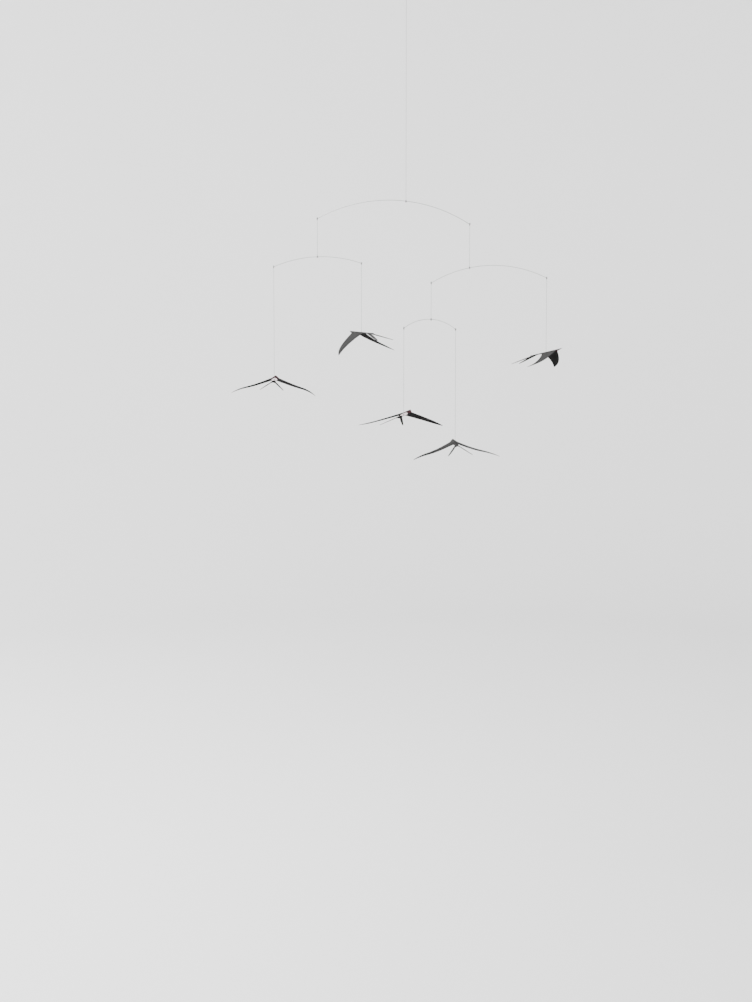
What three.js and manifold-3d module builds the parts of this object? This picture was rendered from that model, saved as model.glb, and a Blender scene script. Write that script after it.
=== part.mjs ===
// Hanging mobile: five folded-card swallows on four arched wire arms, joined by thin threads.
// Millimetres, +Z up. The origin is where a hook bears inside the hanging ring, and the viewer
// looks along +Y with +X to the right. Everything hangs in a chain below the ring.
import * as THREE from 'three';
import { mergeVertices } from 'three/addons/utils/BufferGeometryUtils.js';
import Module from 'manifold-3d';

const wasm = await Module();
wasm.setup();

// Air left between pieces that touch or link.
const GAP = 0.3;

// Hanging ring.
const RING_HOLE = 10;
const RING_WIRE = 1.2;

// Thread, the turns it takes round an eye, its knots, and the larger knot that holds a swallow.
const THREAD = 0.5;
const WRAPS = 3;
const KNOT = 2.0;
const HOLDING_KNOT = 2.2;

// Hole of the small eyes bent into the arms.
const EYE_HOLE = 1.6;

// Arms: wire diameter, straight distance between the wire's ends, height of the arch above it, distance
// along it from the left end to the pivot eye, tilt (right end up) and yaw (right end nearer).
const TOP_ARM = { wire: 1.0, chord: 335.9, rise: 44.3, pivot: 195.2, tilt: -4.1, yaw: 16 };
const LEFT_ARM = { wire: 0.8, chord: 190.4, rise: 17.7, pivot: 95.4, tilt: 3.0, yaw: -8 };
const RIGHT_ARM = { wire: 0.8, chord: 257.5, rise: 31.2, pivot: 85.2, tilt: 3.6, yaw: -15 };
const LOWER_ARM = { wire: 0.8, chord: 120.4, rise: 19.4, pivot: 62.8, tilt: 0.1, yaw: -25 };

// Free drops, from the centre of one eye to the next, and from the origin to the first.
const MAIN_DROP = 434.9;
const LEFT_DROP = 84.1;
const RIGHT_DROP = 92.8;
const LOWER_DROP = 77.7;

// Swallow card, flat: lengths aft of the beak and half-widths out from the fold.
const CARD = 0.5;
const HOLE = 1.2;
const HOLE_AFT = 37;
const BACK = 73;
const CHEEK = { aft: 7.6, out: 5.2 };
const NECK = { aft: 14.2, out: 8.6 };
const WING_TIP = { aft: 55.1, out: 97.5 };
const FRONT_ROOT_PULL = { aft: 21.4, out: 37.4 };
const FRONT_TIP_PULL = { aft: 30.7, out: 78.1 };
const REAR_ROOT_PULL = { aft: 41.9, out: 43.8 };
const REAR_TIP_PULL = { aft: 47.5, out: 73.1 };
const WING_ROOT = { aft: 44.7, out: 7.2 };
const TAIL_BASE = { aft: 58.2, out: 4.7 };
const STREAMER_ROOT = { aft: 60.6, out: 2.35 };
const STREAMER_TIP = { aft: 109.3, out: 27.3 };
const STREAMER_WIDTH = 5.4;
const STREAMER_END = 2.2;
const FORK = { aft: 72, out: 5.7 };

// Lines along the wing, out from the fold, at which the card bends and its droop is stated.
const DROOP_LINES = [0, 32, 64, 98];
const INNER_STATIONS = [20, 32];
const OUTER_STATIONS = [32, 42, 52, 62, 72, 80, 87, 92.5];

// Each swallow: thread length from the eye above to the fold, heading from +X, nose-up pitch, roll,
// and the droop of its left and right wings at the four lines, all in degrees.
const SWALLOWS = {
  left_outer: {
    drop: 242.2, heading: -80.8, pitch: 11.1, roll: -1.1, left: [21, 19, 12.5, 33], right: [20.5, 19, 11, 25],
  },
  left_inner: {
    drop: 149.5, heading: 136.1, pitch: 5.9, roll: -5.3, left: [24.5, 26.5, 26.5, 31.5], right: [31, 26.5, 24.5, 30],
  },
  lower_left: {
    drop: 178.2, heading: -68.7, pitch: 14.3, roll: -0.8, left: [14, 14.5, 12.5, 6], right: [15, 14.5, 13, 3],
  },
  lower_right: {
    drop: 239.7, heading: 95.3, pitch: 10.8, roll: -3.1, left: [25.5, 21, 9.5, 17.5], right: [26, 21, 12.5, 21],
  },
  right_outer: {
    drop: 157.8, heading: -25.3, pitch: 12.0, roll: 1.8, left: [19.5, 20, 18.5, 13], right: [23, 20, 15, 9.5],
  },
};

// Facets.
const WIRE_SIDES = 6;
const THREAD_SIDES = 8;
const ARM_STEPS = 20;
const EYE_STEPS = 10;
const LOOP_STEPS = 8;
const RING_STEPS = 24;

const steel = new THREE.MeshStandardMaterial({ color: 0x8d9094, roughness: 0.35, metalness: 1.0 });
const cord = new THREE.MeshStandardMaterial({ color: 0x5c5e61, roughness: 0.9, metalness: 0.0 });
const card = new THREE.MeshStandardMaterial({ color: 0x2a2b2d, roughness: 0.8, metalness: 0.0 });

function toSolid(geometry) {
  const bare = geometry.clone();
  bare.deleteAttribute('normal');
  bare.deleteAttribute('uv');
  const merged = mergeVertices(bare, 1e-4);
  return new wasm.Manifold(new wasm.Mesh({
    numProp: 3,
    vertProperties: merged.attributes.position.array,
    triVerts: new Uint32Array(merged.index.array),
  }));
}

function toGeometry(solid) {
  const mesh = solid.getMesh();
  const geometry = new THREE.BufferGeometry();
  geometry.setAttribute('position', new THREE.BufferAttribute(mesh.vertProperties, 3));
  geometry.setIndex(new THREE.BufferAttribute(mesh.triVerts, 1));
  geometry.computeVertexNormals();
  return geometry;
}

function joined(geometries) {
  return toGeometry(geometries.map(toSolid).reduce((whole, piece) => whole.add(piece)));
}

function roundSection(diameter, sides) {
  const shape = new THREE.Shape();
  for (let i = 0; i < sides; i += 1) {
    const turn = (2 * Math.PI * i) / sides;
    const x = (diameter / 2) * Math.cos(turn);
    const y = (diameter / 2) * Math.sin(turn);
    if (i === 0) shape.moveTo(x, y);
    else shape.lineTo(x, y);
  }
  shape.closePath();
  return shape;
}

function tube(path, diameter, sides, steps) {
  return new THREE.ExtrudeGeometry(roundSection(diameter, sides), { steps, extrudePath: path });
}

// A closed wire ring in the XZ plane, or across it when turned.
function wireRing(hole, wire, steps, sides) {
  const ring = new THREE.TorusGeometry((hole + wire) / 2, wire / 2, sides, steps);
  return ring.rotateX(Math.PI / 2);
}

// The arch is an arc in the XZ plane. Angles are measured from its top.
class Arch extends THREE.Curve {
  constructor(radius, from, to) {
    super();
    this.radius = radius;
    this.from = from;
    this.to = to;
  }

  getPoint(t) {
    const angle = this.from + (this.to - this.from) * t;
    return new THREE.Vector3(this.radius * Math.sin(angle), 0, this.radius * Math.cos(angle));
  }
}

// Where an arm's wire and its three eyes lie, with the centre of the pivot eye at the local origin.
// The pivot eye is a turn of the wire below the arch, and the end eyes curl up above its ends.
function armLayout(arm) {
  const half = arm.chord / 2;
  const radius = (half * half + arm.rise * arm.rise) / (2 * arm.rise);
  const end = Math.asin(half / radius);
  const pivotAngle = Math.asin((arm.pivot - half) / radius);
  const eye = (EYE_HOLE + arm.wire) / 2;
  const onArch = (angle, off) => new THREE.Vector3(
    (radius + off) * Math.sin(angle),
    0,
    (radius + off) * Math.cos(angle),
  );
  const pivot = onArch(pivotAngle, -eye);
  const leftEye = onArch(-end, eye).sub(pivot);
  const rightEye = onArch(end, eye).sub(pivot);
  return { arch: new Arch(radius, -end, end), pivot, leftEye, rightEye };
}

function armGeometry(arm, layout) {
  const wire = tube(layout.arch, arm.wire, WIRE_SIDES, ARM_STEPS);
  wire.translate(-layout.pivot.x, 0, -layout.pivot.z);
  const eyes = [new THREE.Vector3(), layout.leftEye, layout.rightEye].map((centre) => {
    const eye = wireRing(EYE_HOLE, arm.wire, EYE_STEPS, WIRE_SIDES);
    return eye.translate(centre.x, centre.y, centre.z);
  });
  return joined([wire, ...eyes]);
}

const mobile = new THREE.Group();
const radians = THREE.MathUtils.degToRad;

function addMesh(name, geometry, material, place) {
  const mesh = new THREE.Mesh(geometry, material);
  mesh.name = name;
  mesh.position.copy(place);
  mobile.add(mesh);
  return mesh;
}

// Hangs an arm with its pivot eye at the place given, and returns its eyes as they lie in space.
function addArm(name, arm, place) {
  const layout = armLayout(arm);
  const mesh = addMesh(name, armGeometry(arm, layout), steel, place);
  mesh.rotation.set(0, -radians(arm.tilt), -radians(arm.yaw), 'ZYX');
  mesh.updateMatrix();
  const eyeRadius = (EYE_HOLE + arm.wire) / 2;
  const eyeAt = (local) => ({
    centre: local.clone().applyMatrix4(mesh.matrix), radius: eyeRadius, wire: arm.wire, yaw: arm.yaw,
  });
  return {
    pivot: eyeAt(new THREE.Vector3()), left: eyeAt(layout.leftEye), right: eyeAt(layout.rightEye),
  };
}

function knot(diameter, height) {
  return new THREE.SphereGeometry(diameter / 2, 8, 6).rotateX(Math.PI / 2).translate(0, 0, height);
}

// The thread's turns, side by side as one band, linked round the wire of an eye at the height given.
function tiedLoop(eye, height) {
  const loop = wireRing(eye.wire + 2 * GAP, THREAD, LOOP_STEPS, WIRE_SIDES).scale(1, WRAPS, 1);
  loop.rotateZ(Math.PI / 2 - radians(eye.yaw));
  return loop.translate(0, 0, height);
}

function straightThread(top, bottom) {
  const line = new THREE.LineCurve3(new THREE.Vector3(0, 0, top), new THREE.Vector3(0, 0, bottom));
  return tube(line, THREAD, THREAD_SIDES, 1);
}

const knotDepth = (eye) => eye.wire / 2 + GAP + KNOT / 2;

// A thread tied round the bottom of one eye and the top of the eye below it.
function addLinkThread(name, upper, lower) {
  const start = upper.centre.clone();
  start.z -= upper.radius;
  const length = start.z - (lower.centre.z + lower.radius);
  const topKnot = -knotDepth(upper);
  const bottomKnot = -length + knotDepth(lower);
  addMesh(name, joined([
    straightThread(topKnot, bottomKnot),
    tiedLoop(upper, 0),
    knot(KNOT, topKnot),
    tiedLoop(lower, -length),
    knot(KNOT, bottomKnot),
  ]), cord, start);
}

// A thread tied round the bottom of an eye, with a knot under the fold of the swallow that it holds.
function addSwallowThread(name, upper, drop, holdDepth) {
  const start = upper.centre.clone();
  start.z -= upper.radius;
  const topKnot = -knotDepth(upper);
  const holding = -(drop - upper.radius) - holdDepth;
  addMesh(name, joined([
    straightThread(topKnot, holding),
    tiedLoop(upper, 0),
    knot(KNOT, topKnot),
    knot(HOLDING_KNOT, holding),
  ]), cord, start);
}

const flat = ({ aft, out }) => new THREE.Vector2(aft, out);

function wingEdge(root, rootPull, tipPull) {
  return new THREE.CubicBezierCurve(flat(root), flat(rootPull), flat(tipPull), flat(WING_TIP));
}

// The point of a wing edge at a distance out from the fold. The distance grows from t = 0 to t = 1.
function edgeAt(curve, out) {
  let low = 0;
  let high = 1;
  for (let i = 0; i < 40; i += 1) {
    const middle = (low + high) / 2;
    if (curve.getPoint(middle).y < out) low = middle;
    else high = middle;
  }
  return new THREE.Vector2(curve.getPoint(low).x, out);
}

// Half of the flat card: its points, and triangles between them. x is aft and y is out.
function halfCard() {
  const front = wingEdge(NECK, FRONT_ROOT_PULL, FRONT_TIP_PULL);
  const rear = wingEdge(WING_ROOT, REAR_ROOT_PULL, REAR_TIP_PULL);
  const tailBase = flat(TAIL_BASE);
  const tip = flat(STREAMER_TIP);
  const notch = new THREE.Vector2(BACK, 0);
  const root = flat(STREAMER_ROOT);
  const along = tip.clone().sub(root).normalize();
  const across = new THREE.Vector2(-along.y, along.x).multiplyScalar(STREAMER_WIDTH / 2);
  const cut = across.clone().setLength(STREAMER_END / 2);
  const middle = root.clone().add(tip).multiplyScalar(0.5);
  const inner = [
    new THREE.Vector2(0, 0),
    flat(CHEEK),
    flat(NECK),
    ...INNER_STATIONS.map((out) => edgeAt(front, out)),
    ...INNER_STATIONS.map((out) => edgeAt(rear, out)).reverse(),
    flat(WING_ROOT),
    tailBase,
    middle.clone().add(across),
    tip.clone().add(cut),
    tip.clone().sub(cut),
    middle.clone().sub(across),
    flat(FORK),
    notch,
  ];
  const points = [...inner];
  const triangles = THREE.ShapeUtils.triangulateShape(inner, []);
  let frontIndex = 2 + INNER_STATIONS.length;
  let rearIndex = frontIndex + 1;
  for (const out of OUTER_STATIONS.slice(1)) {
    const next = points.length;
    points.push(edgeAt(front, out), edgeAt(rear, out));
    triangles.push([frontIndex, rearIndex, next], [rearIndex, next + 1, next]);
    frontIndex = next;
    rearIndex = next + 1;
  }
  points.push(flat(WING_TIP));
  triangles.push([frontIndex, rearIndex, points.length - 1]);
  return { points, triangles };
}

function droopAt(droops, out) {
  let i = 0;
  while (i < DROOP_LINES.length - 2 && out > DROOP_LINES[i + 1]) i += 1;
  const share = (out - DROOP_LINES[i]) / (DROOP_LINES[i + 1] - DROOP_LINES[i]);
  return radians(droops[i] + (droops[i + 1] - droops[i]) * share);
}

// One wing in the plane across the fold, as flat strips between the bend lines. Each line has its
// place on the card's upper face and the step down to the lower face, mitred at the bend.
function wingProfile(droops) {
  const lines = [0, ...OUTER_STATIONS, WING_TIP.out];
  const strips = lines.slice(1).map((out, i) => droopAt(droops, (out + lines[i]) / 2));
  const profile = [];
  let y = 0;
  let z = 0;
  lines.forEach((out, i) => {
    const before = i > 0 ? strips[i - 1] : -strips[0];
    const after = i < strips.length ? strips[i] : strips[i - 1];
    const lean = (before + after) / 2;
    const depth = CARD / Math.cos((after - before) / 2);
    profile.push({ out, y, z, lean, depth });
    if (i < strips.length) {
      y += (lines[i + 1] - out) * Math.cos(strips[i]);
      z -= (lines[i + 1] - out) * Math.sin(strips[i]);
    }
  });
  return { profile, strips };
}

// Places a flat point on the bent card: the upper face, and the lower face under it.
function placeOnWing({ profile, strips }, point, side) {
  const at = profile.find((line) => Math.abs(line.out - point.y) < 1e-6);
  const index = profile.findIndex((line) => line.out > point.y) - 1;
  const start = at ?? profile[index];
  const slope = at ? 0 : strips[index];
  const step = at ? 0 : point.y - start.out;
  const lean = at ? at.lean : slope;
  const depth = at ? at.depth : CARD;
  const y = start.y + step * Math.cos(slope);
  const z = start.z - step * Math.sin(slope);
  const upper = new THREE.Vector3(-point.x, side * y, z);
  const lower = new THREE.Vector3(-point.x, side * (y - depth * Math.sin(lean)), z - depth * Math.cos(lean));
  return { upper, lower };
}

// The whole card as one closed solid, with its thread hole at the local origin and its beak at +X.
function swallowGeometry(swallow) {
  const { points, triangles } = halfCard();
  const uppers = [];
  const lowers = [];
  const faces = [];
  const foldIndex = new Map();
  for (const side of [1, -1]) {
    const wing = wingProfile(side > 0 ? swallow.left : swallow.right);
    const indices = points.map((point) => {
      const key = point.y === 0 ? point.x : null;
      if (key !== null && foldIndex.has(key)) return foldIndex.get(key);
      const { upper, lower } = placeOnWing(wing, point, side);
      uppers.push(upper);
      lowers.push(lower);
      if (key !== null) foldIndex.set(key, uppers.length - 1);
      return uppers.length - 1;
    });
    for (const triangle of triangles) {
      const [a, b, c] = triangle.map((i) => indices[i]);
      const up = (uppers[b].x - uppers[a].x) * (uppers[c].y - uppers[a].y)
        - (uppers[b].y - uppers[a].y) * (uppers[c].x - uppers[a].x);
      faces.push(up > 0 ? [a, b, c] : [a, c, b]);
    }
  }
  const count = uppers.length;
  const edges = new Set(faces.flatMap(([a, b, c]) => [`${a} ${b}`, `${b} ${c}`, `${c} ${a}`]));
  const index = faces.flat();
  faces.forEach(([a, b, c]) => index.push(a + count, c + count, b + count));
  for (const edge of edges) {
    const [a, b] = edge.split(' ').map(Number);
    if (!edges.has(`${b} ${a}`)) index.push(a, a + count, b + count, a, b + count, b);
  }
  const geometry = new THREE.BufferGeometry().setFromPoints([...uppers, ...lowers]);
  geometry.setIndex(index);
  geometry.translate(HOLE_AFT, 0, 0);
  const punch = new THREE.CylinderGeometry(HOLE / 2, HOLE / 2, 8 * CARD, THREAD_SIDES);
  return toGeometry(toSolid(geometry).subtract(toSolid(punch.rotateX(Math.PI / 2))));
}

function foldDroop({ left, right }) {
  return radians((left[0] + right[0] + left[1] + right[1]) / 4);
}

function addSwallow(name, swallow, eye) {
  const place = eye.centre.clone();
  place.z -= swallow.drop;
  const mesh = addMesh(`swallow_${name}`, swallowGeometry(swallow), card, place);
  mesh.rotation.set(radians(swallow.roll), -radians(swallow.pitch), radians(swallow.heading), 'ZYX');
  const clear = CARD + GAP + HOLDING_KNOT / 2;
  const holdDepth = clear / (Math.cos(foldDroop(swallow)) * Math.cos(radians(swallow.pitch)));
  addSwallowThread(`swallow_thread_${name}`, eye, swallow.drop, holdDepth);
}

// The ring hangs from its inner top, so its centre is half a hole below the origin.
const ringCentre = new THREE.Vector3(0, 0, -RING_HOLE / 2);
addMesh('hanging_ring', wireRing(RING_HOLE, RING_WIRE, RING_STEPS, THREAD_SIDES), steel, ringCentre);
const ringEye = { centre: ringCentre, radius: (RING_HOLE + RING_WIRE) / 2, wire: RING_WIRE, yaw: 0 };

// The chain of arms, each hanging from an end eye of the one above.
const below = (eye, drop) => eye.centre.clone().add(new THREE.Vector3(0, 0, -drop));
const top = addArm('top_arm', TOP_ARM, new THREE.Vector3(0, 0, -MAIN_DROP));
const left = addArm('left_arm', LEFT_ARM, below(top.left, LEFT_DROP));
const right = addArm('right_arm', RIGHT_ARM, below(top.right, RIGHT_DROP));
const lower = addArm('lower_arm', LOWER_ARM, below(right.left, LOWER_DROP));

addLinkThread('main_thread', ringEye, top.pivot);
addLinkThread('left_drop_thread', top.left, left.pivot);
addLinkThread('right_drop_thread', top.right, right.pivot);
addLinkThread('lower_drop_thread', right.left, lower.pivot);

addSwallow('left_outer', SWALLOWS.left_outer, left.left);
addSwallow('left_inner', SWALLOWS.left_inner, left.right);
addSwallow('lower_left', SWALLOWS.lower_left, lower.left);
addSwallow('lower_right', SWALLOWS.lower_right, lower.right);
addSwallow('right_outer', SWALLOWS.right_outer, right.right);

export default mobile;
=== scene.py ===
import math

import bmesh
import bpy
from mathutils import Euler, Matrix, Vector


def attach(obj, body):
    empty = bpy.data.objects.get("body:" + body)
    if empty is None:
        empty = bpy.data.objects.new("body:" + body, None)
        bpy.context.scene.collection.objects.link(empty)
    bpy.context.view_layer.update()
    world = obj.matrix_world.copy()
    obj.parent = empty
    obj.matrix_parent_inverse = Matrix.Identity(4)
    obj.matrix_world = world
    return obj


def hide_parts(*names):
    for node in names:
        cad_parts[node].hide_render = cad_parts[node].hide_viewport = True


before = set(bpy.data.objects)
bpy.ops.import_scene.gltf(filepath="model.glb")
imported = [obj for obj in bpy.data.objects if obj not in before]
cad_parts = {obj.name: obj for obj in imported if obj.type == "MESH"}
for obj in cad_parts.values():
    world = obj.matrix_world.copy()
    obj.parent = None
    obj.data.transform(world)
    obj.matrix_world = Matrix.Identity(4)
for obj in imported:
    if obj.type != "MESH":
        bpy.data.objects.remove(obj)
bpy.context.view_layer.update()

# The dressed mobile: five folded-card swallows, four bent-wire arms, nine twisted threads and a
# ring. Sizes are millimetres times MM, so every object is in metres.
MM = 0.001

# Air left between pieces that touch or link.
GAP = 0.3 * MM

# Ring, thread, knots and the small eyes bent into the arms.
RING_HOLE = 10 * MM
RING_WIRE = 1.2 * MM
THREAD = 0.5 * MM
WRAPS = 3
KNOT = 2.0 * MM
HOLDING_KNOT = 2.2 * MM
EYE_HOLE = 1.6 * MM

# Arms: wire, chord from end to end of the arch, rise of the arch above it, distance along the chord
# from its left end to the pivot eye, tilt (right end up) and yaw (right end nearer).
ARMS = {
    "top_arm": dict(wire=1.0 * MM, chord=335.9 * MM, rise=44.3 * MM, pivot=195.2 * MM, tilt=-4.1, yaw=16),
    "left_arm": dict(wire=0.8 * MM, chord=190.4 * MM, rise=17.7 * MM, pivot=95.4 * MM, tilt=3.0, yaw=-8),
    "right_arm": dict(wire=0.8 * MM, chord=257.5 * MM, rise=31.2 * MM, pivot=85.2 * MM, tilt=3.6, yaw=-15),
    "lower_arm": dict(wire=0.8 * MM, chord=120.4 * MM, rise=19.4 * MM, pivot=62.8 * MM, tilt=0.1, yaw=-25),
}

# Drops from the ring's inner top, or an end eye's centre, to the centre of the next arm's pivot eye.
MAIN_DROP = 434.9 * MM
LEFT_DROP = 84.1 * MM
RIGHT_DROP = 92.8 * MM
LOWER_DROP = 77.7 * MM

# Swallow card, flat: (distance aft of the beak, half-width out from the fold).
CARD = 0.5 * MM
HOLE = 1.2 * MM
HOLE_AFT = 37 * MM
BACK = 73 * MM
CHEEK = (7.6 * MM, 5.2 * MM)
NECK = (14.2 * MM, 8.6 * MM)
WING_TIP = (55.1 * MM, 97.5 * MM)
FRONT_ROOT_PULL = (21.4 * MM, 37.4 * MM)
FRONT_TIP_PULL = (30.7 * MM, 78.1 * MM)
REAR_TIP_PULL = (47.5 * MM, 73.1 * MM)
REAR_ROOT_PULL = (41.9 * MM, 43.8 * MM)
WING_ROOT = (44.7 * MM, 7.2 * MM)
TAIL_BASE = (58.2 * MM, 4.7 * MM)
ROOT_CURVE = (WING_ROOT[0] + 5 * MM, TAIL_BASE[1] + 0.6 * MM)
STREAMER_ROOT = (60.6 * MM, 2.35 * MM)
STREAMER_TIP = (109.3 * MM, 27.3 * MM)
STREAMER_WIDTH = 5.4 * MM
STREAMER_END = 2.2 * MM
FORK = (72 * MM, 5.7 * MM)

# Each swallow: drop from its eye to its fold, heading from +X, pitch and roll, and the droop of each
# wing at four distances out from the fold.
DROOP_LINES = (0, 32 * MM, 64 * MM, 98 * MM)
SWALLOWS = {
    "left_outer": dict(drop=242.2 * MM, heading=-80.8, pitch=11.1, roll=-1.1,
                       left=(21, 19, 12.5, 33), right=(20.5, 19, 11, 25)),
    "left_inner": dict(drop=149.5 * MM, heading=136.1, pitch=5.9, roll=-5.3,
                       left=(24.5, 26.5, 26.5, 31.5), right=(31, 26.5, 24.5, 30)),
    "lower_left": dict(drop=178.2 * MM, heading=-68.7, pitch=14.3, roll=-0.8,
                       left=(14, 14.5, 12.5, 6), right=(15, 14.5, 13, 3)),
    "lower_right": dict(drop=239.7 * MM, heading=95.3, pitch=10.8, roll=-3.1,
                        left=(25.5, 21, 9.5, 17.5), right=(26, 21, 12.5, 21)),
    "right_outer": dict(drop=157.8 * MM, heading=-25.3, pitch=12.0, roll=1.8,
                        left=(19.5, 20, 18.5, 13), right=(23, 20, 15, 9.5)),
}


# Camera

CAMERA_PLACE = (-0.0636, -2.862, -0.854)
CAMERA_PITCH = -4.34
CAMERA_LENS = 47.82
CAMERA_SENSOR = 36


def make_camera():
    data = bpy.data.cameras.new("view")
    data.lens = CAMERA_LENS
    data.sensor_width = CAMERA_SENSOR
    data.sensor_fit = "AUTO"
    camera = bpy.data.objects.new("view", data)
    camera.location = CAMERA_PLACE
    camera.rotation_euler = (math.radians(90 + CAMERA_PITCH), 0, 0)
    bpy.context.collection.objects.link(camera)
    bpy.context.scene.camera = camera


# Materials

# Noise scales are cells along a metre.
NOISE_ROUGHNESS = 0.6


def new_material(name, roughness, metallic=0.0, specular=0.5):
    material = bpy.data.materials.new(name)
    material.use_nodes = True
    shader = material.node_tree.nodes["Principled BSDF"]
    shader.inputs["Roughness"].default_value = roughness
    shader.inputs["Metallic"].default_value = metallic
    shader.inputs["Specular IOR Level"].default_value = specular
    return material, material.node_tree, shader


def object_point(tree, stretch=(1, 1, 1)):
    place = tree.nodes.new("ShaderNodeTexCoord")
    mapping = tree.nodes.new("ShaderNodeMapping")
    mapping.inputs["Scale"].default_value = stretch
    tree.links.new(place.outputs["Object"], mapping.inputs["Vector"])
    return mapping.outputs["Vector"]


def noise(tree, vector, scale, detail):
    texture = tree.nodes.new("ShaderNodeTexNoise")
    texture.inputs["Scale"].default_value = scale
    texture.inputs["Detail"].default_value = detail
    texture.inputs["Roughness"].default_value = NOISE_ROUGHNESS
    tree.links.new(vector, texture.inputs["Vector"])
    return texture.outputs["Fac"]


def ramp(tree, factor, *stops):
    """Colours that run between two stops, each a position and a colour."""
    colours = tree.nodes.new("ShaderNodeValToRGB")
    for element, (position, colour) in zip(colours.color_ramp.elements, stops):
        element.position = position
        element.color = (*colour, 1)
    tree.links.new(factor, colours.inputs["Fac"])
    return colours.outputs["Color"]


def math_node(tree, operation, first, second, clamp=False):
    node = tree.nodes.new("ShaderNodeMath")
    node.operation = operation
    node.use_clamp = clamp
    for socket, value in zip(node.inputs, (first, second)):
        if isinstance(value, (int, float)):
            socket.default_value = value
        else:
            tree.links.new(value, socket)
    return node.outputs[0]


def mix_colour(tree, factor, first, second):
    node = tree.nodes.new("ShaderNodeMix")
    node.data_type = "RGBA"
    tree.links.new(factor, node.inputs["Factor"])
    for socket, value in ((node.inputs["A"], first), (node.inputs["B"], second)):
        if isinstance(value, tuple):
            socket.default_value = (*value, 1)
        else:
            tree.links.new(value, socket)
    return node.outputs["Result"]


def bump(tree, shader, height, depth, strength):
    node = tree.nodes.new("ShaderNodeBump")
    node.inputs["Distance"].default_value = depth
    node.inputs["Strength"].default_value = strength
    tree.links.new(height, node.inputs["Height"])
    tree.links.new(node.outputs["Normal"], shader.inputs["Normal"])


def shade(colour, factor):
    return tuple(channel * factor for channel in colour)


# Card: fine fibre mottle. One black card: its upper face is painted lighter, as painted light from above,
# and its lower face near black, as painted shade, with a white belly and a dull red throat.
CARD_UPPER_PAINTED_LIT = (0.025, 0.0245, 0.0245)
CARD_UNDER_PAINTED_SHADE = (0.0068, 0.0065, 0.0065)
CARD_CORE = (0.009, 0.009, 0.0095)
BELLY_WHITE = (0.80, 0.70, 0.72)
THROAT_RED = (0.034, 0.0125, 0.016)
BELLY = dict(aft=36.5 * MM, half_length=14.5 * MM, half_width=6.8 * MM)
THROAT = dict(aft=11 * MM, half_length=13.5 * MM, half_width=11 * MM)
PATCH_SHARPNESS = 14.0
PATCH_WOBBLE = 0.5
FINE_SHARE = 0.6

# The card's flat pattern is kept as a map, this many metres to its whole side, with the fold midway.
PATTERN_SPAN = 0.25
PATTERN_FOLD = 0.5

# Where the three faces of the card lie in its list of materials.
UPPER_FACE, UNDER_FACE, EDGE_FACE = 0, 1, 2


def card_fibres(tree, shader, colour):
    point = object_point(tree)
    fine = noise(tree, point, scale=2600, detail=3)
    broad = noise(tree, point, scale=90, detail=4)
    blend = math_node(tree, "ADD", math_node(tree, "MULTIPLY", fine, FINE_SHARE),
                      math_node(tree, "MULTIPLY", broad, 1 - FINE_SHARE))
    bump(tree, shader, fine, depth=0.03 * MM, strength=0.5)
    return ramp(tree, blend, (0.3, shade(colour, 0.82)), (0.7, shade(colour, 1.2)))


# Upper face: the black card painted lighter, as painted light.
def make_card_upper():
    material, tree, shader = new_material("card_upper", roughness=0.82, specular=0.08)
    tree.links.new(card_fibres(tree, shader, CARD_UPPER_PAINTED_LIT), shader.inputs["Base Color"])
    return material


def make_card_edge():
    material, tree, shader = new_material("card_edge", roughness=0.9, specular=0.05)
    plies = noise(tree, object_point(tree), scale=3500, detail=2)
    bump(tree, shader, plies, depth=0.04 * MM, strength=0.6)
    colour = ramp(tree, plies, (0.35, shade(CARD_CORE, 0.7)), (0.65, shade(CARD_CORE, 1.5)))
    tree.links.new(colour, shader.inputs["Base Color"])
    return material


def patch(tree, aft, out, wobble, shape):
    """One inside an oval on the fold and nought outside it, with a slightly uneven edge."""
    along = math_node(tree, "SUBTRACT", aft, shape["aft"] / PATTERN_SPAN)
    along = math_node(tree, "DIVIDE", along, shape["half_length"] / PATTERN_SPAN)
    across = math_node(tree, "DIVIDE", out, shape["half_width"] / PATTERN_SPAN)
    square = math_node(tree, "ADD", math_node(tree, "MULTIPLY", along, along),
                       math_node(tree, "MULTIPLY", across, across))
    edge = math_node(tree, "ADD", math_node(tree, "SUBTRACT", 1.0, square), wobble)
    return math_node(tree, "MULTIPLY", edge, PATCH_SHARPNESS, clamp=True)


# Lower face: the black card painted near black, as painted shade, under the printed belly and throat.
def make_card_under():
    material, tree, shader = new_material("card_under", roughness=0.85, specular=0.03)
    black = card_fibres(tree, shader, CARD_UNDER_PAINTED_SHADE)
    pattern = tree.nodes.new("ShaderNodeUVMap")
    pattern.uv_map = "card"
    split = tree.nodes.new("ShaderNodeSeparateXYZ")
    tree.links.new(pattern.outputs["UV"], split.inputs["Vector"])
    aft = split.outputs["X"]
    out = math_node(tree, "SUBTRACT", split.outputs["Y"], PATTERN_FOLD)
    uneven = math_node(tree, "SUBTRACT", noise(tree, object_point(tree), scale=420, detail=3), 0.5)
    wobble = math_node(tree, "MULTIPLY", uneven, PATCH_WOBBLE)
    white = patch(tree, aft, out, wobble, BELLY)
    red = patch(tree, aft, out, wobble, THROAT)
    colour = mix_colour(tree, white, black, BELLY_WHITE)
    colour = mix_colour(tree, red, colour, THROAT_RED)
    tree.links.new(colour, shader.inputs["Base Color"])
    return material


# Steel: faint tarnish, and drawing marks that are long in X and vary its polish.
DRAWN_STRETCH = (0.08, 1, 1)
SMOOTHER = 0.08
ROUGHER = 0.1


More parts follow.
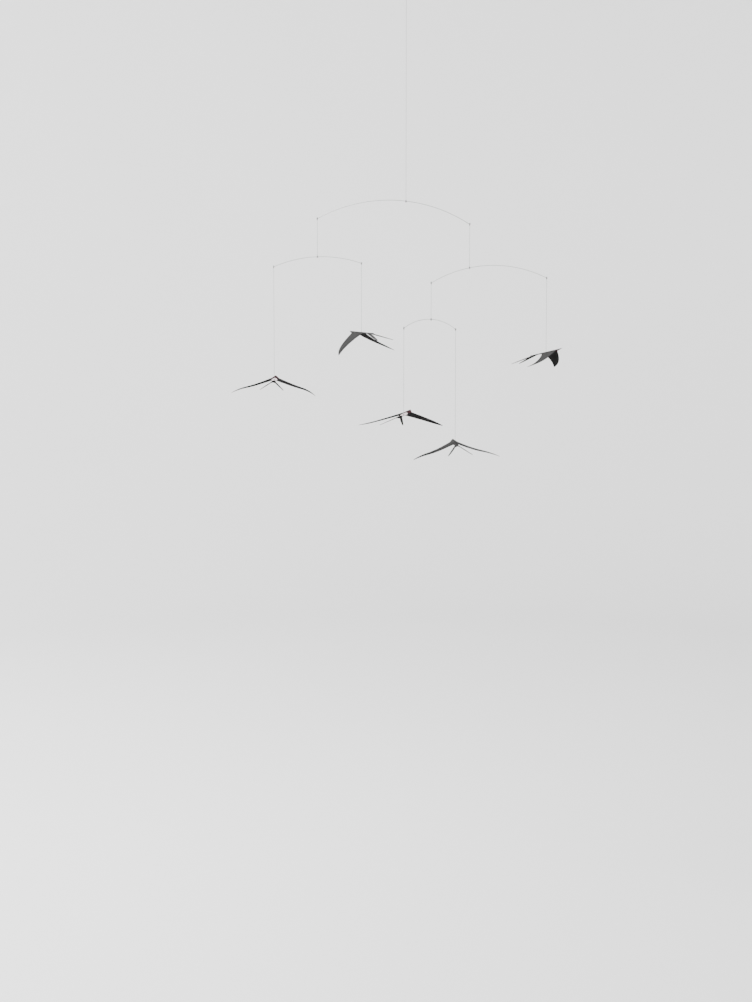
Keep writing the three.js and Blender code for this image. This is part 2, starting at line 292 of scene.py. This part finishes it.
def make_steel(name, colour, roughness):
    material, tree, shader = new_material(name, roughness, metallic=1.0)
    tarnish = noise(tree, object_point(tree), scale=160, detail=4)
    marks = noise(tree, object_point(tree, DRAWN_STRETCH), scale=5200, detail=2)
    tree.links.new(ramp(tree, tarnish, (0.35, shade(colour, 0.8)), (0.7, shade(colour, 1.08))),
                   shader.inputs["Base Color"])
    rough = tree.nodes.new("ShaderNodeMapRange")
    rough.inputs["To Min"].default_value = roughness - SMOOTHER
    rough.inputs["To Max"].default_value = roughness + ROUGHER
    tree.links.new(marks, rough.inputs["Value"])
    tree.links.new(rough.outputs["Result"], shader.inputs["Roughness"])
    bump(tree, shader, marks, depth=0.01 * MM, strength=0.4)
    return material


# Thread and studio paper
THREAD_DARK = (0.004, 0.004, 0.0042)
THREAD_LIGHT = (0.014, 0.0142, 0.0146)
PAPER_DARK = (0.80, 0.80, 0.80)
PAPER_LIGHT = (0.82, 0.82, 0.82)


def make_thread_material():
    material, tree, shader = new_material("thread", roughness=0.9, specular=0.05)
    fibre = noise(tree, object_point(tree), scale=6000, detail=3)
    tree.links.new(ramp(tree, fibre, (0.3, THREAD_DARK), (0.7, THREAD_LIGHT)), shader.inputs["Base Color"])
    bump(tree, shader, fibre, depth=0.02 * MM, strength=0.6)
    return material


def make_studio_material():
    material, tree, shader = new_material("studio_paper", roughness=0.95, specular=0.1)
    soft = noise(tree, object_point(tree), scale=0.6, detail=2)
    tree.links.new(ramp(tree, soft, (0.2, PAPER_DARK), (0.8, PAPER_LIGHT)), shader.inputs["Base Color"])
    return material


STEEL_WIRE = make_steel("steel_wire", colour=(0.21, 0.212, 0.214), roughness=0.34)
RING_STEEL = make_steel("steel_ring", colour=(0.72, 0.73, 0.74), roughness=0.22)
THREAD_FIBRE = make_thread_material()
CARD_FACES = [make_card_upper(), make_card_under(), make_card_edge()]


# Pieces

def mesh_object(build, name, materials):
    """The built faces as an object in the scene, with its list of materials."""
    mesh = bpy.data.meshes.new(name)
    build.to_mesh(mesh)
    build.free()
    for material in materials:
        mesh.materials.append(material)
    made = bpy.data.objects.new(name, mesh)
    bpy.context.collection.objects.link(made)
    return made


def tube_object(build, name, material):
    bmesh.ops.recalc_face_normals(build, faces=build.faces)
    return mesh_object(build, name, [material])


def register(piece, node):
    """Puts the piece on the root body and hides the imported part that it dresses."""
    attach(piece, "root")
    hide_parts(node)


# Studio: a round floor that curves up into a wall all round, soft light and one broad lamp above.
FLOOR_BELOW_CAMERA = 1.15
FLOOR_HEIGHT = CAMERA_PLACE[2] - FLOOR_BELOW_CAMERA
STUDIO_FLAT = 4.2
STUDIO_CURVE = 2.2
STUDIO_WALL = 6.0
STUDIO_STEPS = 96
CURVE_STEPS = 24
SKY_STRENGTH = 1.0
KEY_PLACE = (-3.4, -1.6, 2.4)
KEY_TARGET = (-1.2, 3.5, -0.9)
KEY_SIZE = 2.6
KEY_POWER = 950


def make_studio():
    profile = [(STUDIO_FLAT, 0.0)]
    for i in range(1, CURVE_STEPS + 1):
        turn = math.pi / 2 * i / CURVE_STEPS
        profile.append((STUDIO_FLAT + STUDIO_CURVE * math.sin(turn),
                        STUDIO_CURVE * (1 - math.cos(turn))))
    profile.append((STUDIO_FLAT + STUDIO_CURVE, STUDIO_WALL))
    build = bmesh.new()
    centre = build.verts.new((0, 0, FLOOR_HEIGHT))
    rings = []
    for radius, height in profile:
        rings.append([build.verts.new((radius * math.cos(2 * math.pi * i / STUDIO_STEPS),
                                       radius * math.sin(2 * math.pi * i / STUDIO_STEPS),
                                       FLOOR_HEIGHT + height)) for i in range(STUDIO_STEPS)])
    for i in range(STUDIO_STEPS):
        after = (i + 1) % STUDIO_STEPS
        build.faces.new((centre, rings[0][i], rings[0][after]))
        for inner, outer in zip(rings, rings[1:]):
            build.faces.new((inner[i], outer[i], outer[after], inner[after]))
    for face in build.faces:
        face.smooth = True
    studio = mesh_object(build, "studio", [make_studio_material()])


def make_lights():
    world = bpy.data.worlds.new("studio_air")
    world.use_nodes = True
    sky = world.node_tree.nodes["Background"]
    sky.inputs["Color"].default_value = (1, 1, 1, 1)
    sky.inputs["Strength"].default_value = SKY_STRENGTH
    bpy.context.scene.world = world
    data = bpy.data.lights.new("key", "AREA")
    data.shape = "DISK"
    data.size = KEY_SIZE
    data.energy = KEY_POWER
    lamp = bpy.data.objects.new("key", data)
    lamp.location = KEY_PLACE
    aim = Vector(KEY_TARGET) - Vector(KEY_PLACE)
    lamp.rotation_euler = aim.to_track_quat("-Z", "Y").to_euler()
    lamp.visible_camera = False
    bpy.context.collection.objects.link(lamp)


# Tubes

# How far an end's dome rises, as a share of the tube's radius.
END_DOME = 0.45


def frame_along(points):
    """Unit tangents and turning-free normals along a run of points."""
    tangents = []
    for i in range(len(points)):
        before = points[max(i - 1, 0)]
        after = points[min(i + 1, len(points) - 1)]
        tangents.append((after - before).normalized())
    normal = tangents[0].orthogonal().normalized()
    normals = []
    for tangent in tangents:
        normal = (normal - tangent * normal.dot(tangent)).normalized()
        normals.append(normal)
    return tangents, normals


def add_tube(build, points, radius, sides, closed=False):
    """A round tube along the points, closed on itself or with a low dome on each end."""
    tangents, normals = frame_along(points)
    rings = []
    for point, tangent, normal in zip(points, tangents, normals):
        side = tangent.cross(normal)
        ring = []
        for i in range(sides):
            turn = 2 * math.pi * i / sides
            ring.append(build.verts.new(point + radius * (normal * math.cos(turn) + side * math.sin(turn))))
        rings.append(ring)
    pairs = list(zip(rings, rings[1:]))
    if closed:
        pairs.append((rings[-1], rings[0]))
    for first, second in pairs:
        for i in range(sides):
            after = (i + 1) % sides
            build.faces.new((first[i], first[after], second[after], second[i])).smooth = True
    if not closed:
        for ring, outward, point, at_start in ((rings[0], -tangents[0], points[0], True),
                                               (rings[-1], tangents[-1], points[-1], False)):
            cap = build.verts.new(point + outward * radius * END_DOME)
            for i in range(sides):
                after = (i + 1) % sides
                corner = (ring[after], ring[i], cap) if at_start else (ring[i], ring[after], cap)
                build.faces.new(corner).smooth = True


def rounded(points):
    """The run with its corners cut, from the same start to the same end."""
    cut = [points[0]]
    for first, second in zip(points, points[1:]):
        cut += [first.lerp(second, 0.25), first.lerp(second, 0.75)]
    return cut + [points[-1]]


def yaw_matrix(degrees):
    return Euler((0, 0, -math.radians(degrees))).to_matrix()


# Arms

# The wire turns round in an eye at its pivot and curls up into one at each end. Where it passes itself
# it slips aside by a little more than its own thickness.
ARM_STEPS = 120
EYE_STEPS = 28
NEAR_STEPS = 10
WIRE_SIDES = 14
EYE_CLOSE = math.radians(350)
PIVOT_SLIP = 1.04
PIVOT_SLIP_LENGTH = 9 * MM
PIVOT_CLEAR = 0.2 * MM
END_SLIP = 1.05
END_SLIP_POWER = 1.4


def arm_layout(arm):
    """The arch's radius and angles, and its eyes' centres measured from the pivot eye's."""
    half = arm["chord"] / 2
    radius = (half * half + arm["rise"] ** 2) / (2 * arm["rise"])
    end = math.asin(half / radius)
    pivot_angle = math.asin((arm["pivot"] - half) / radius)
    eye = (EYE_HOLE + arm["wire"]) / 2

    def on_arch(angle, off):
        return Vector(((radius + off) * math.sin(angle), 0, (radius + off) * math.cos(angle)))

    pivot = on_arch(pivot_angle, -eye)
    return dict(radius=radius, end=end, pivot_angle=pivot_angle, eye=eye, pivot=pivot,
                left=on_arch(-end, eye) - pivot, right=on_arch(end, eye) - pivot)


def end_eye_run(centre, side, layout, wire):
    """The wire's end curled up into an eye, from where it leaves the arch to its free end."""
    end, eye = layout["end"], layout["eye"]
    outward = Vector((side * math.cos(end), 0, -math.sin(end)))
    inward = Vector((-side * math.sin(end), 0, -math.cos(end)))
    run = []
    for i in range(1, EYE_STEPS + 1):
        share = i / EYE_STEPS
        turn = EYE_CLOSE * share
        aside = Vector((0, side * END_SLIP * wire * share ** END_SLIP_POWER, 0))
        run.append(centre + eye * (inward * math.cos(turn) + outward * math.sin(turn)) + aside)
    return run


def arm_line(arm, layout):
    """The whole wire: left eye, arch with the turn that makes the pivot eye below it, right eye."""
    radius, end, pivot_angle = layout["radius"], layout["end"], layout["pivot_angle"]
    eye, wire = layout["eye"], arm["wire"]
    across = Vector((0, wire * PIVOT_SLIP, 0))

    def arc(angle):
        away = abs(angle - pivot_angle) * radius
        share = max(0.0, 1 - away / PIVOT_SLIP_LENGTH)
        side = -0.5 if angle < pivot_angle else 0.5
        point = Vector((radius * math.sin(angle), 0, radius * math.cos(angle))) - layout["pivot"]
        return point + across * (side * share * share * (3 - 2 * share))

    near = PIVOT_SLIP_LENGTH / radius
    angles = sorted([-end + 2 * end * i / ARM_STEPS for i in range(ARM_STEPS + 1)]
                    + [pivot_angle + near * (i / NEAR_STEPS - 1) for i in range(2 * NEAR_STEPS + 1)])
    clear = PIVOT_CLEAR / radius
    up = Vector((math.sin(pivot_angle), 0, math.cos(pivot_angle)))
    ahead = Vector((math.cos(pivot_angle), 0, -math.sin(pivot_angle)))
    line = list(reversed(end_eye_run(layout["left"], -1, layout, wire)))
    line += [arc(angle) for angle in angles if angle < pivot_angle - clear]
    for i in range(EYE_STEPS + 1):
        share = i / EYE_STEPS
        turn = 2 * math.pi * share
        line.append(eye * (up * math.cos(turn) + ahead * math.sin(turn)) + across * (share - 0.5))
    line += [arc(angle) for angle in angles if angle > pivot_angle + clear]
    line += end_eye_run(layout["right"], 1, layout, wire)
    return rounded(line)


def make_arm(name, place):
    """One arm with its pivot eye's centre at the place. Returns its eyes, for the threads."""
    arm = ARMS[name]
    layout = arm_layout(arm)
    turn = yaw_matrix(arm["yaw"]) @ Euler((0, -math.radians(arm["tilt"]), 0)).to_matrix()
    build = bmesh.new()
    add_tube(build, [turn @ point for point in arm_line(arm, layout)], arm["wire"] / 2, WIRE_SIDES)
    piece = tube_object(build, f"{name}_wire", STEEL_WIRE)
    piece.location = place
    register(piece, name)

    def eye_at(local, strands=1):
        return dict(centre=place + turn @ local, radius=layout["eye"], wire=arm["wire"],
                    yaw=arm["yaw"], strands=strands)

    return dict(pivot=eye_at(Vector(), 2), left=eye_at(layout["left"]), right=eye_at(layout["right"]))


# Hanging ring

# It is a bent wire whose ends all but meet.
RING_OPEN = math.radians(1.6)
RING_OPEN_AT = math.radians(35)
RING_STEPS = 96
RING_SIDES = 20


def make_ring():
    radius = (RING_HOLE + RING_WIRE) / 2
    centre = Vector((0, 0, -RING_HOLE / 2))
    points = []
    for i in range(RING_STEPS + 1):
        turn = RING_OPEN_AT + RING_OPEN / 2 + (2 * math.pi - RING_OPEN) * i / RING_STEPS
        points.append(centre + Vector((radius * math.cos(turn), 0, radius * math.sin(turn))))
    build = bmesh.new()
    add_tube(build, points, RING_WIRE / 2, RING_SIDES)
    piece = tube_object(build, "hanging_ring_wire", RING_STEEL)
    register(piece, "hanging_ring")
    return dict(centre=centre, radius=radius, wire=RING_WIRE, yaw=0, strands=1)


# Threads

# Each has two twisted plies, wraps tied round each eye, small knots and their cut ends. Where a knot's
# or tail's name says TURN, it is radians round the thread.
TWIST_PITCH = 1.5 * MM
TWIST_STEPS = 8
PLY = 0.62 * THREAD
PLY_SIDES = 6
KNOT_STEPS = 48
KNOT_STRAND_RADIUS = THREAD * 0.62
KNOT_SIDES = 8
KNOT_TIP = math.radians(58)
TREFOIL_RISE = 1.6
TREFOIL_REACH = 3.0
WRAP_STEPS = 24
WRAP_SPACING = THREAD * 0.98
WRAP_SIDES = 8
TAIL_STEPS = 4
TAIL_RADIUS = THREAD / 2 * 0.9
TAIL_SIDES = 6
TAIL_SAG = 0.9
UPPER_TAIL = 1.8 * MM
LOWER_TAIL = 2.4 * MM
UPPER_TAIL_TURN = 2
LOWER_KNOT_TURN = 1
LOWER_TAIL_TURN = 4


def below(eye, drop):
    return eye["centre"] - Vector((0, 0, drop))


def knot_depth(eye):
    """How far a knot's middle lies from the middle of the eye's wire that it is tied to."""
    return eye["wire"] / 2 + GAP + KNOT / 2


def twisted_run(top, length):
    """Two plies twisted round each other, straight down from the top point."""
    build = bmesh.new()
    turns = length / TWIST_PITCH
    steps = max(2, round(turns * TWIST_STEPS))
    aside = (THREAD - PLY) / 2
    for start in (0, math.pi):
        points = []
        for i in range(steps + 1):
            share = i / steps
            turn = start + 2 * math.pi * turns * share
            points.append(top + Vector((aside * math.cos(turn), aside * math.sin(turn), -length * share)))
        add_tube(build, points, PLY / 2, PLY_SIDES)
    return build


def add_knot(build, centre, size, lean):
    """A trefoil: the run of a thread drawn up into a small knot."""
    tip = Euler((KNOT_TIP, 0, lean)).to_matrix()
    points = []
    for i in range(KNOT_STEPS):
        turn = 2 * math.pi * i / KNOT_STEPS
        local = tip @ Vector((math.sin(turn) + 2 * math.sin(2 * turn),
                              math.cos(turn) - 2 * math.cos(2 * turn), -TREFOIL_RISE * math.sin(3 * turn)))
        points.append(centre + local * (size / 2 - THREAD / 2) / TREFOIL_REACH)
    add_tube(build, points, KNOT_STRAND_RADIUS, KNOT_SIDES, closed=True)


def add_tied_loop(build, eye, centre):
    """The turns of thread linked round an eye's wire, across the arm's own plane."""
    high = (eye["wire"] + THREAD) / 2 + GAP
    wide = high + (eye["strands"] - 1) * eye["wire"] / 2
    turn = yaw_matrix(eye["yaw"])
    points = []
    steps = WRAP_STEPS * WRAPS
    for i in range(steps + 1):
        angle = 2 * math.pi * i / WRAP_STEPS
        along = WRAP_SPACING * WRAPS * (i / steps - 0.5)
        points.append(centre + turn @ Vector((along, wide * math.sin(angle), -high * math.cos(angle))))
    add_tube(build, points, THREAD / 2, WRAP_SIDES)


def add_tail(build, centre, lean, length):
    """The short cut end of the thread beside its knot."""
    out = Vector((math.cos(lean), math.sin(lean), 0))
    points = []
    for i in range(TAIL_STEPS + 1):
        share = i / TAIL_STEPS
        points.append(centre + out * (length * share) + Vector((0, 0, -length * TAIL_SAG * share * share)))
    add_tube(build, points, TAIL_RADIUS, TAIL_SIDES)


def knot_piece(name, node, *parts):
    """One piece made of several parts, each its adding function and what that takes."""
    build = bmesh.new()
    for add, *values in parts:
        add(build, *values)
    piece = tube_object(build, name, THREAD_FIBRE)
    register(piece, node)
    return piece


def make_thread(node, upper, lean, lower=None, drop=None):
    """A thread from the bottom of one eye to the top of the next, or down to its holding knot."""
    start = below(upper, upper["radius"])
    top = start - Vector((0, 0, knot_depth(upper)))
    upper_knot_parts = ((add_tied_loop, upper, start), (add_knot, top, KNOT, lean),
                        (add_tail, top, lean + UPPER_TAIL_TURN, UPPER_TAIL))
    if lower:
        end = lower["centre"] + Vector((0, 0, lower["radius"]))
        bottom = end + Vector((0, 0, knot_depth(lower)))
        lower_knot_parts = ((add_tied_loop, lower, end), (add_knot, bottom, KNOT, lean + LOWER_KNOT_TURN))
    else:
        bottom = below(upper, drop)
        lower_knot_parts = ((add_knot, bottom, HOLDING_KNOT, lean + LOWER_KNOT_TURN),
                            (add_tail, bottom, lean + LOWER_TAIL_TURN, LOWER_TAIL))
    length = top.z - bottom.z
    thread = tube_object(twisted_run(top, length), f"{node}_strand", THREAD_FIBRE)
    register(thread, node)
    upper_knot = knot_piece(f"{node}_upper_knot", node, *upper_knot_parts)
    lower_knot = knot_piece(f"{node}_lower_knot", node, *lower_knot_parts)


# Swallows

# The flat card is cut into a grid, folded and bent by its wings' droop, then given its thickness and
# its hole. The fold is a narrow soft crease, and the wings are slightly wavy.
WING_EDGE_STEPS = 40
HEAD_STEPS = 8
ROOT_STEPS = 8
STREAMER_STEPS = 14
STREAMER_END_STEPS = 6
CROTCH_STEPS = 5
STREAMER_END_BULGE = 0.3
CROTCH_AFT_SHARE = 0.2
CROTCH_OUT_SHARE = 0.5
BEND_STEP = 2.5 * MM
GRID_STEP = 4.0 * MM
TABLE_STEP = 0.25 * MM
CUT_TOLERANCE = 1e-7
CREASE = (0.3 * MM, 0.8 * MM)
WARP = 0.25 * MM
WARP_WAVE = 31 * MM
WARP_SHIFT = 1.3
WARP_FULL_OUT = 60 * MM
HOLE_SIDES = 20
PUNCH_LENGTH = 8 * CARD


def cubic_run(first, first_pull, last_pull, last, steps):
    """A curve from first to last, drawn towards its two pulls."""
    run = []
    for i in range(steps + 1):
        share = i / steps
        rest = 1 - share
        weights = (rest ** 3, 3 * rest ** 2 * share, 3 * rest * share ** 2, share ** 3)
        run.append(tuple(sum(weight * point[axis] for weight, point
                             in zip(weights, (first, first_pull, last_pull, last))) for axis in (0, 1)))
    return run


def quadratic_run(first, through, last, steps):
    """A curve from first to last that passes through the middle point."""
    pull = [2 * through[axis] - (first[axis] + last[axis]) / 2 for axis in (0, 1)]
    run = []
    for i in range(steps + 1):
        share = i / steps
        rest = 1 - share
        run.append(tuple(rest * rest * first[axis] + 2 * rest * share * pull[axis]
                         + share * share * last[axis] for axis in (0, 1)))
    return run


def half_outline():
    """The flat card's outline from the beak round the wing and tail to the notch."""
    head = quadratic_run((0, 0), CHEEK, NECK, HEAD_STEPS)
    front = cubic_run(NECK, FRONT_ROOT_PULL, FRONT_TIP_PULL, WING_TIP, WING_EDGE_STEPS)
    rear = cubic_run(WING_TIP, REAR_TIP_PULL, REAR_ROOT_PULL, WING_ROOT, WING_EDGE_STEPS)
    root = quadratic_run(WING_ROOT, ROOT_CURVE, TAIL_BASE, ROOT_STEPS)
    tip = Vector(STREAMER_TIP)
    middle = (Vector(STREAMER_ROOT) + tip) / 2
    along = (tip - Vector(STREAMER_ROOT)).normalized()
    sideways = Vector((-along.y, along.x))
    across = sideways * STREAMER_WIDTH / 2
    cut = sideways * STREAMER_END / 2
    outer = quadratic_run(TAIL_BASE, middle + across, tip + cut, STREAMER_STEPS)
    end = quadratic_run(tip + cut, tip + along * STREAMER_END * STREAMER_END_BULGE, tip - cut,
                        STREAMER_END_STEPS)
    inner = quadratic_run(tip - cut, middle - across, FORK, STREAMER_STEPS)
    crotch = quadratic_run(FORK, (BACK + (FORK[0] - BACK) * CROTCH_AFT_SHARE, FORK[1] * CROTCH_OUT_SHARE),
                           (BACK, 0), CROTCH_STEPS)
    runs = (head, front, rear, root, outer, end, inner)
    return [point for run in runs for point in run[:-1]] + crotch


def droop_at(droops, out):
    """The droop angle at a distance out from the fold, in a straight line between the four given."""
    i = 0
    while i < len(DROOP_LINES) - 2 and out > DROOP_LINES[i + 1]:
        i += 1
    share = (out - DROOP_LINES[i]) / (DROOP_LINES[i + 1] - DROOP_LINES[i])
    return math.radians(droops[i] + (droops[i + 1] - droops[i]) * share)


def wing_table(droops):
    """Distance out along the card, reach and height of its upper face, at each step from the fold."""
    table = [(0.0, 0.0, 0.0)]
    reach = height = 0.0
    while table[-1][0] < WING_TIP[1] + TABLE_STEP:
        middle = table[-1][0] + TABLE_STEP / 2
        angle = droop_at(droops, middle) * min(1.0, middle / CREASE[1])
        reach += TABLE_STEP * math.cos(angle)
        height -= TABLE_STEP * math.sin(angle)
        table.append((table[-1][0] + TABLE_STEP, reach, height))
    return table


def bent(tables, flat):
    """Where a point of the flat card lies once it is folded and bent, measured from the hole."""
    aft, out = -flat.x, abs(flat.y)
    table, side = (tables[0], 1) if flat.y >= 0 else (tables[1], -1)
    i = min(int(out / TABLE_STEP), len(table) - 2)
    share = (out - table[i][0]) / TABLE_STEP
    reach = table[i][1] + (table[i + 1][1] - table[i][1]) * share
    height = table[i][2] + (table[i + 1][2] - table[i][2]) * share
    ripple = WARP * math.sin(aft / WARP_WAVE + side * WARP_SHIFT) * min(1.0, out / WARP_FULL_OUT)
    return Vector((HOLE_AFT - aft, side * reach, height + ripple))


def cut_along(build, axis, places):
    for place in places:
        geometry = build.verts[:] + build.edges[:] + build.faces[:]
        point = Vector((0, 0, 0))
        point[axis] = place
        normal = Vector((0, 0, 0))
        normal[axis] = 1
        bmesh.ops.bisect_plane(build, geom=geometry, plane_co=point, plane_no=normal, dist=CUT_TOLERANCE)


def flat_card():
    half = half_outline()
    outline = [(-aft, out) for aft, out in half] + [(-aft, -out) for aft, out in reversed(half[1:-1])]
    build = bmesh.new()
    build.faces.new([build.verts.new((x, y, 0)) for x, y in outline])
    outs = [BEND_STEP * i for i in range(1, int(WING_TIP[1] / BEND_STEP) + 1)]
    lines = [0.0, *CREASE, *outs]
    cut_along(build, 1, sorted({side * line for side in (-1, 1) for line in lines}))
    rows = int(STREAMER_TIP[0] / GRID_STEP)
    cut_along(build, 0, [-GRID_STEP * i for i in range(1, rows + 1)])
    return build


def bent_card(swallow):
    """The card's upper face, with its flat pattern kept as a map and its normals up."""
    build = flat_card()
    pattern = build.loops.layers.uv.new("card")
    for face in build.faces:
        face.smooth = True
        face.material_index = UPPER_FACE
        for loop in face.loops:
            flat = loop.vert.co
            loop[pattern].uv = (-flat.x / PATTERN_SPAN, flat.y / PATTERN_SPAN + PATTERN_FOLD)
    tables = (wing_table(swallow["left"]), wing_table(swallow["right"]))
    for vert in build.verts:
        vert.co = bent(tables, vert.co)
    bmesh.ops.triangulate(build, faces=build.faces, quad_method="BEAUTY", ngon_method="BEAUTY")
    for face in build.faces:
        if face.normal.z < 0:
            face.normal_flip()
    return build


def make_punch():
    build = bmesh.new()
    bmesh.ops.create_cone(build, cap_ends=True, segments=HOLE_SIDES, radius1=HOLE / 2, radius2=HOLE / 2,
                          depth=PUNCH_LENGTH)
    return mesh_object(build, "punch", [CARD_FACES[EDGE_FACE]])


def thicken_and_punch(piece):
    """Gives the bent face its thickness downwards and the hole for its thread."""
    shell = piece.modifiers.new("thickness", "SOLIDIFY")
    shell.thickness = CARD
    shell.offset = -1
    shell.use_even_offset = True
    shell.material_offset = UNDER_FACE
    shell.material_offset_rim = EDGE_FACE
    punch = make_punch()
    hole = piece.modifiers.new("hole", "BOOLEAN")
    hole.operation = "DIFFERENCE"
    hole.solver = "EXACT"
    hole.object = punch
    graph = bpy.context.evaluated_depsgraph_get()
    done = bpy.data.meshes.new_from_object(piece.evaluated_get(graph), depsgraph=graph)
    piece.modifiers.clear()
    piece.data = done
    bpy.data.objects.remove(punch, do_unlink=True)


def make_swallow(name, swallow, eye):
    piece = mesh_object(bent_card(swallow), f"{name}_card", CARD_FACES)
    thicken_and_punch(piece)
    turn = Matrix.Rotation(math.radians(swallow["heading"]), 4, "Z")
    turn = turn @ Matrix.Rotation(-math.radians(swallow["pitch"]), 4, "Y")
    turn = turn @ Matrix.Rotation(math.radians(swallow["roll"]), 4, "X")
    piece.data.transform(turn)
    piece.location = below(eye, swallow["drop"])
    register(piece, name)


def hold_depth(swallow):
    """How far the holding knot's middle lies below the fold, clear of the drooping card."""
    clear = CARD + GAP + HOLDING_KNOT / 2
    droop = (swallow["left"][0] + swallow["right"][0] + swallow["left"][1] + swallow["right"][1]) / 4
    return clear / (math.cos(math.radians(droop)) * math.cos(math.radians(swallow["pitch"])))


# The chain, hung from the ring down

# Each thread's knots lean their own way, in radians.
FIRST_LEAN = 0.7
LEAN_STEP = 1.9

make_camera()

ring = make_ring()
top = make_arm("top_arm", Vector((0, 0, -MAIN_DROP)))
left = make_arm("left_arm", below(top["left"], LEFT_DROP))
right = make_arm("right_arm", below(top["right"], RIGHT_DROP))
lower = make_arm("lower_arm", below(right["left"], LOWER_DROP))

make_thread("main_thread", ring, lean=0.2, lower=top["pivot"])
make_thread("left_drop_thread", top["left"], lean=1.1, lower=left["pivot"])
make_thread("right_drop_thread", top["right"], lean=2.3, lower=right["pivot"])
make_thread("lower_drop_thread", right["left"], lean=3.1, lower=lower["pivot"])

HUNG_FROM = {
    "left_outer": left["left"],
    "left_inner": left["right"],
    "lower_left": lower["left"],
    "lower_right": lower["right"],
    "right_outer": right["right"],
}
for order, (place_name, swallow) in enumerate(SWALLOWS.items()):
    eye = HUNG_FROM[place_name]
    make_thread(f"swallow_thread_{place_name}", eye, lean=FIRST_LEAN + LEAN_STEP * order,
                drop=swallow["drop"] + hold_depth(swallow))
    make_swallow(f"swallow_{place_name}", swallow, eye)

make_studio()
make_lights()

bpy.context.view_layer.update()
